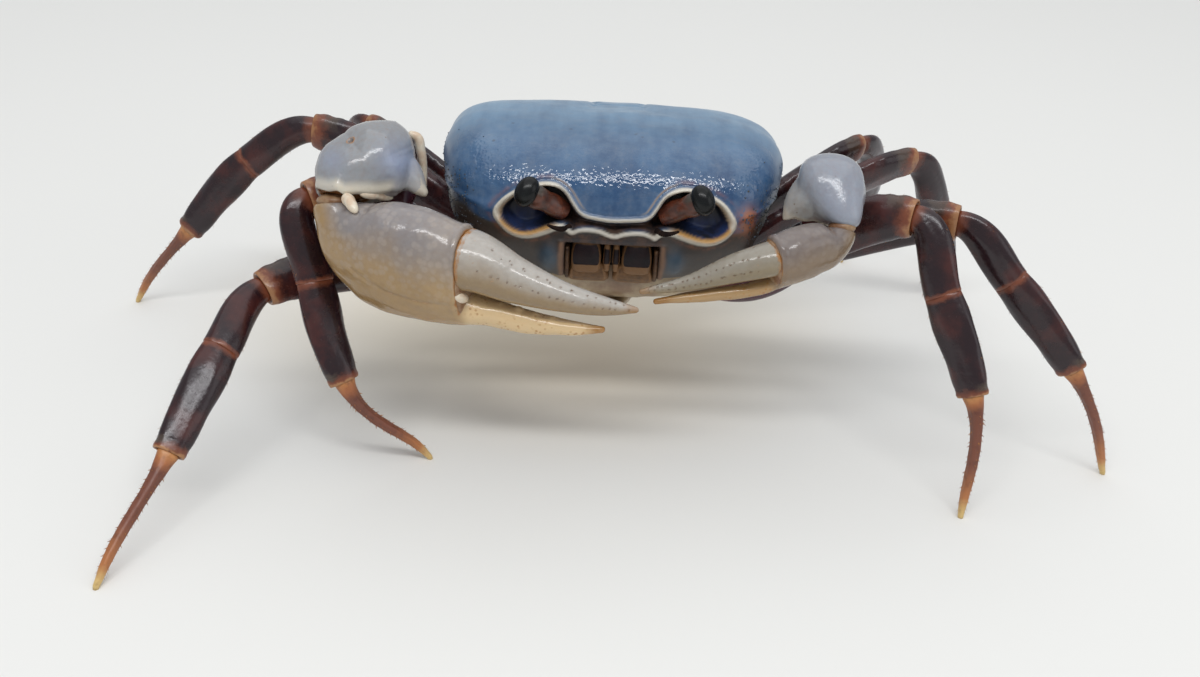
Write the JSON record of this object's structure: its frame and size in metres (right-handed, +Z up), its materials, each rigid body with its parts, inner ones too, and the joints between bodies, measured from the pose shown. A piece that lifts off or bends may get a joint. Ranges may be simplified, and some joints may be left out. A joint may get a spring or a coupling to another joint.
{
  "type": "crab model",
  "caption": "Life-size museum model of a blue and white freshwater crab standing on its walking legs, with one claw much larger and both claws folded in front of the mouth.",
  "frame": {"origin": "middle of the bounding box at floor level, under the body; the feet stand on the plane z = 0", "axes": "+X is the crab's own left, -Y is the way its face looks, +Z is up"},
  "size_m": [0.1034, 0.0668, 0.0312],
  "materials": {
    "shell_blue": "glossy slate-blue shell cuticle",
    "underside": "satin tan underside cuticle",
    "mouth_brown": "wet dark purple-brown mouth plate",
    "stalk_orange": "wet orange-brown stalk cuticle",
    "cornea_black": "polished black-green cornea",
    "claw_pearl": "pearly grey-white claw cuticle",
    "leg_dark": "glossy aubergine-black leg cuticle",
    "foot_amber": "red-brown to amber toe cuticle"
  },
  "bodies": {
    "root": {"carapace": "shell_blue", "thorax": "underside", "pleon": "underside", "maxilliped_left": "mouth_brown", "eyestalk_left": "stalk_orange", "eye_left": "cornea_black", "antenna_left": "stalk_orange", "claw_left_merus": "leg_dark", "claw_left_carpus": "claw_pearl", "claw_left_palm": "claw_pearl", "claw_left_finger": "claw_pearl", "leg_left_1_merus": "leg_dark", "leg_left_1_carpus": "leg_dark", "leg_left_1_propodus": "leg_dark", "leg_left_1_dactylus": "foot_amber", "leg_left_2_merus": "leg_dark", "leg_left_2_carpus": "leg_dark", "leg_left_2_propodus": "leg_dark", "leg_left_2_dactylus": "foot_amber", "leg_left_3_merus": "leg_dark", "leg_left_3_carpus": "leg_dark", "leg_left_3_propodus": "leg_dark", "leg_left_3_dactylus": "foot_amber", "leg_left_4_merus": "leg_dark", "leg_left_4_carpus": "leg_dark", "leg_left_4_propodus": "leg_dark", "leg_left_4_dactylus": "foot_amber", "maxilliped_right": "mouth_brown", "eyestalk_right": "stalk_orange", "eye_right": "cornea_black", "antenna_right": "stalk_orange", "claw_right_merus": "leg_dark", "claw_right_carpus": "claw_pearl", "claw_right_palm": "claw_pearl", "claw_right_finger": "claw_pearl", "leg_right_1_merus": "leg_dark", "leg_right_1_carpus": "leg_dark", "leg_right_1_propodus": "leg_dark", "leg_right_1_dactylus": "foot_amber", "leg_right_2_merus": "leg_dark", "leg_right_2_carpus": "leg_dark", "leg_right_2_propodus": "leg_dark", "leg_right_2_dactylus": "foot_amber", "leg_right_3_merus": "leg_dark", "leg_right_3_carpus": "leg_dark", "leg_right_3_propodus": "leg_dark", "leg_right_3_dactylus": "foot_amber", "leg_right_4_merus": "leg_dark", "leg_right_4_carpus": "leg_dark", "leg_right_4_propodus": "leg_dark", "leg_right_4_dactylus": "foot_amber"}
  },
  "joints": []
}
